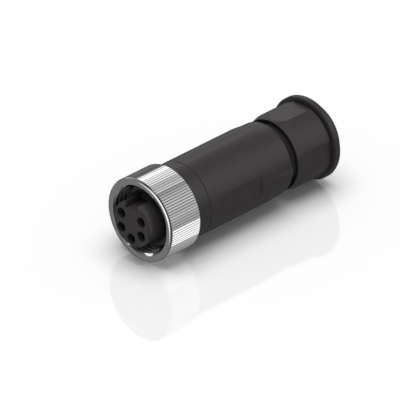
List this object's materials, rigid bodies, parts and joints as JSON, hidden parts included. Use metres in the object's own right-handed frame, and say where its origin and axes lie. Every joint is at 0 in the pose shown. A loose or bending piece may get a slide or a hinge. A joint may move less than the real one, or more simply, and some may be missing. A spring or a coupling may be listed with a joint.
{
  "type": "field-attachable socket connector",
  "caption": "Round field-wired cable connector: keyed socket insert, knurled coupling nut, screw-on housing with wrench flats and flanged gland nut.",
  "frame": {"origin": "centre of the gland nut's back face, where the cable enters", "axes": "+Z along the connector towards the socket face, -Y through the keyway"},
  "size_m": [0.0258, 0.0258, 0.0744],
  "materials": {
    "nut_plating": "nickel plated",
    "insert_plastic": "satin black",
    "sleeve_plastic": "satin black",
    "housing_plastic": "satin black",
    "gland_plastic": "satin black",
    "cage_plastic": "satin dark grey",
    "rubber": "matte black",
    "steel": "zinc plated",
    "contact_metal": "gold plated"
  },
  "bodies": {
    "front": {"socket_insert": "insert_plastic", "front_seal": "rubber", "front_sleeve": "sleeve_plastic", "lock_ring": "steel", "housing_seal": "rubber", "terminal_block": "insert_plastic", "terminal_screws": "steel", "socket_contact_1": "contact_metal", "socket_contact_2": "contact_metal", "socket_contact_3": "contact_metal", "socket_contact_4": "contact_metal", "socket_contact_5": "contact_metal", "wire_clamp_1": "steel", "wire_clamp_2": "steel", "wire_clamp_3": "steel", "wire_clamp_4": "steel", "wire_clamp_5": "steel"},
    "slip": {"slip_ring": "steel"},
    "nut": {"coupling_nut": "nut_plating"},
    "seals": {"cable_seal": "rubber", "clamping_cage": "cage_plastic"},
    "housing": {"housing": "housing_plastic"},
    "thrust": {"thrust_ring": "steel"},
    "gland": {"gland_nut": "gland_plastic"}
  },
  "joints": [
    {"name": "nut_travel", "type": "slide", "parent": "front", "child": "slip", "axis": [0, 0, 1], "range_m": [0, 0.002]},
    {"name": "nut_spin", "type": "hinge", "parent": "slip", "child": "nut", "pos_m": [0, 0, 0.065], "axis": [0, 0, 1], "continuous": true},
    {"name": "housing_travel", "type": "slide", "parent": "front", "child": "seals", "axis": [0, 0, -1], "range_m": [0, 0.00625]},
    {"name": "housing_turn", "type": "hinge", "parent": "seals", "child": "housing", "pos_m": [0, 0, 0.037], "axis": [0, 0, -1], "range_deg": [0, 1801]},
    {"name": "gland_travel", "type": "slide", "parent": "housing", "child": "thrust", "axis": [0, 0, -1], "range_m": [0, 0.0105]},
    {"name": "gland_turn", "type": "hinge", "parent": "thrust", "child": "gland", "pos_m": [0, 0, 0.009], "axis": [0, 0, -1], "range_deg": [0, 2521]}
  ],
  "couplings": [
    {"joint": "housing_turn", "follows": "housing_travel", "rad_per_m": 5026.5},
    {"joint": "gland_turn", "follows": "gland_travel", "rad_per_m": 4188.8}
  ]
}
